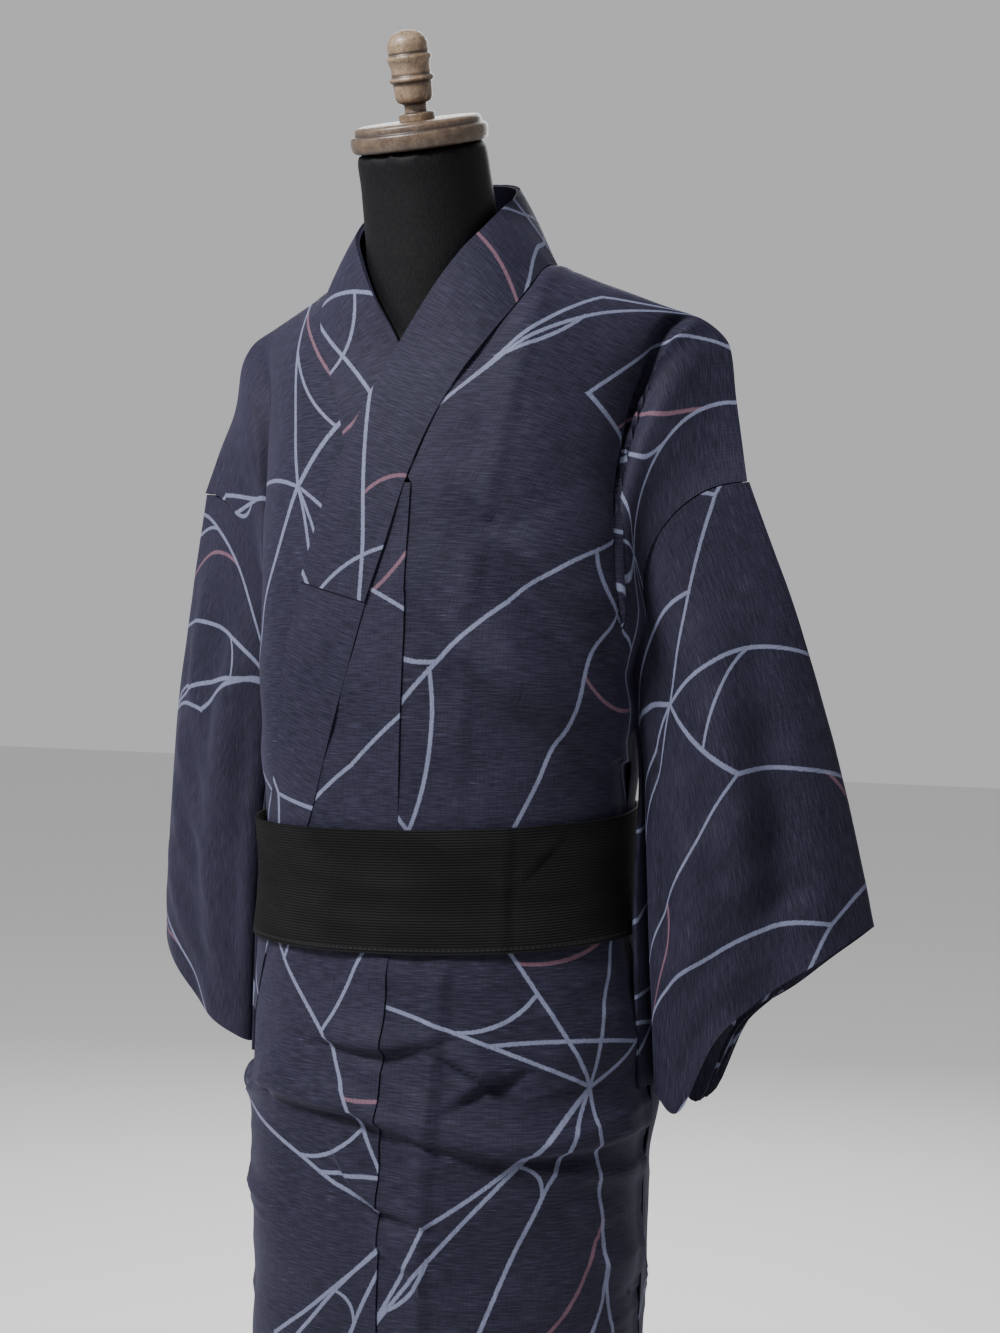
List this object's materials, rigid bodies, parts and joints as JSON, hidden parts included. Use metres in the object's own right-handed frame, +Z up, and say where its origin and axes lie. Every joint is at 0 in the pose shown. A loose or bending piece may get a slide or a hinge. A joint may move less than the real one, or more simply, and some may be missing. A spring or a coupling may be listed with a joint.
{
  "type": "cotton yukata robe with an obi on a limbless dress form",
  "caption": "Long wrapped cotton robe with wide hanging sleeves and a waist sash, worn on a dress form without limbs that stands on a round base.",
  "frame": {"origin": "centre of the round base's underside, on the floor", "axes": "+Z up, -Y to the front of the robe, +X to the wearer's left"},
  "size_m": [0.6604, 0.37, 1.6597],
  "materials": {
    "indigo_cotton": "slub cotton, matte",
    "obi_cotton": "ribbed cotton, matte",
    "black_jersey": "jersey, matte",
    "cap_wood": "stained, worn satin",
    "finial_wood": "stained, worn satin",
    "stand_steel": "black satin"
  },
  "bodies": {
    "root": {"body_left": "indigo_cotton", "body_right": "indigo_cotton", "okumi_left": "indigo_cotton", "okumi_right": "indigo_cotton", "sleeve_left": "indigo_cotton", "sleeve_right": "indigo_cotton", "collar": "indigo_cotton", "over_collar": "indigo_cotton", "obi_band": "obi_cotton", "obi_knot": "obi_cotton", "obi_tail_left": "obi_cotton", "obi_tail_right": "obi_cotton", "form_torso": "black_jersey", "form_cap": "cap_wood", "form_finial": "finial_wood", "form_post": "stand_steel", "form_base": "stand_steel"}
  },
  "joints": []
}
